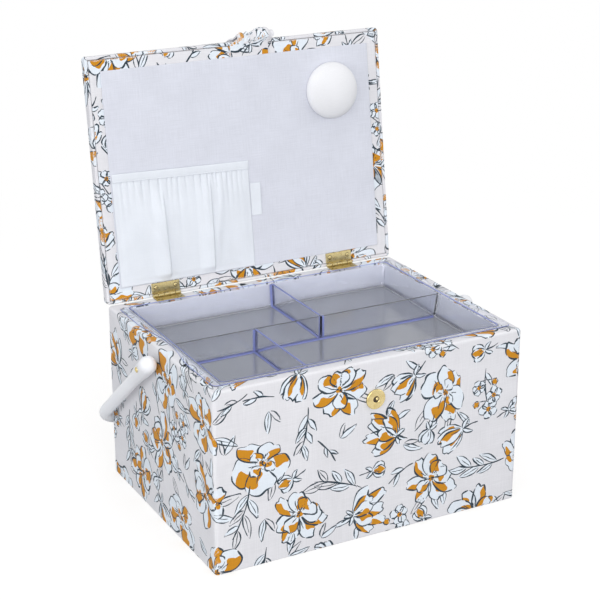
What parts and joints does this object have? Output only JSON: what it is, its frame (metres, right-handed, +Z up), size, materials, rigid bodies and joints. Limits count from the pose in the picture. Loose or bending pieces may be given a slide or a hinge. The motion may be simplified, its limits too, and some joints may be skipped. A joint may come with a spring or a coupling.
{
  "type": "fabric-covered sewing box",
  "caption": "Fabric-covered sewing box with a padded hinged lid, magnetic closing strap, swinging carrying handle, lift-out compartment tray, lid pocket and pincushion.",
  "frame": {"origin": "middle of the flat base, on the surface that the box stands on", "axes": "+Z up, +Y towards the hinges at the back, +X towards the box's right as seen from its front"},
  "size_m": [0.362, 0.2985, 0.422],
  "materials": {
    "printed_linen": "woven, matt",
    "plain_base_cloth": "woven, matt",
    "fibreboard": "raw",
    "wadding": "soft, matt",
    "lining_cloth": "woven, matt",
    "white_cotton": "woven, matt",
    "pincushion_cloth": "woven, matt",
    "polished_brass": "polished",
    "magnet_steel": "plain",
    "white_plastic": "fine texture",
    "clear_styrene": "clear"
  },
  "bodies": {
    "box": {"base_board": "fibreboard", "front_board": "fibreboard", "back_board": "fibreboard", "left_board": "fibreboard", "right_board": "fibreboard", "outer_cover": "printed_linen", "base_cover": "plain_base_cloth", "front_lining": "lining_cloth", "back_lining": "lining_cloth", "left_lining": "lining_cloth", "right_lining": "lining_cloth", "floor_lining": "lining_cloth", "left_hinge_box_leaf": "polished_brass", "right_hinge_box_leaf": "polished_brass", "left_hinge_pin": "polished_brass", "right_hinge_pin": "polished_brass", "left_hinge_box_screw_1": "polished_brass", "left_hinge_box_screw_2": "polished_brass", "right_hinge_box_screw_1": "polished_brass", "right_hinge_box_screw_2": "polished_brass", "snap_socket": "polished_brass", "snap_magnet": "magnet_steel", "snap_back_plate": "polished_brass", "snap_washer": "polished_brass", "left_handle_screw": "polished_brass", "right_handle_screw": "polished_brass", "left_handle_spacer": "polished_brass", "right_handle_spacer": "polished_brass"},
    "lid": {"lid_cover": "printed_linen", "lid_board": "fibreboard", "lid_wadding": "wadding", "lid_left_strip": "fibreboard", "lid_right_strip": "fibreboard", "lid_front_strip": "fibreboard", "lid_back_strip": "fibreboard", "lid_inner_panel": "printed_linen", "lid_lining": "lining_cloth", "left_hinge_lid_leaf": "polished_brass", "right_hinge_lid_leaf": "polished_brass", "left_hinge_lid_screw_1": "polished_brass", "left_hinge_lid_screw_2": "polished_brass", "right_hinge_lid_screw_1": "polished_brass", "right_hinge_lid_screw_2": "polished_brass", "pocket": "white_cotton", "pocket_hem": "white_cotton", "side_label": "white_cotton", "pincushion": "pincushion_cloth", "strap_root": "printed_linen"},
    "strap_neck": {"strap_neck": "printed_linen"},
    "strap_flap": {"strap_flap": "printed_linen", "snap_stud": "polished_brass"},
    "carrying_handle": {"handle": "white_plastic"},
    "lift_out_tray": {"tray": "clear_styrene"}
  },
  "joints": [
    {"name": "lid_hinge", "type": "hinge", "parent": "box", "child": "lid", "pos_m": [0, 0.1185, 0.179], "axis": [-1, 0, 0], "range_deg": [-97.9, 0]},
    {"name": "strap_fold", "type": "hinge", "parent": "lid", "child": "strap_neck", "pos_m": [0, 0.15347, 0.41645], "axis": [-1, 0, 0], "range_deg": [-147.4, 0]},
    {"name": "strap_curl", "type": "hinge", "parent": "strap_neck", "child": "strap_flap", "pos_m": [0, 0.17122, 0.41967], "axis": [-1, 0, 0], "range_deg": [-114.7, 0]},
    {"name": "handle_swing", "type": "hinge", "parent": "box", "child": "carrying_handle", "pos_m": [0, 0.0015, 0.1575], "axis": [1, 0, 0], "range_deg": [0, 63]},
    {"name": "tray_lift", "type": "slide", "parent": "box", "child": "lift_out_tray", "axis": [0, 0, 1], "range_m": [0, 0.15]}
  ]
}
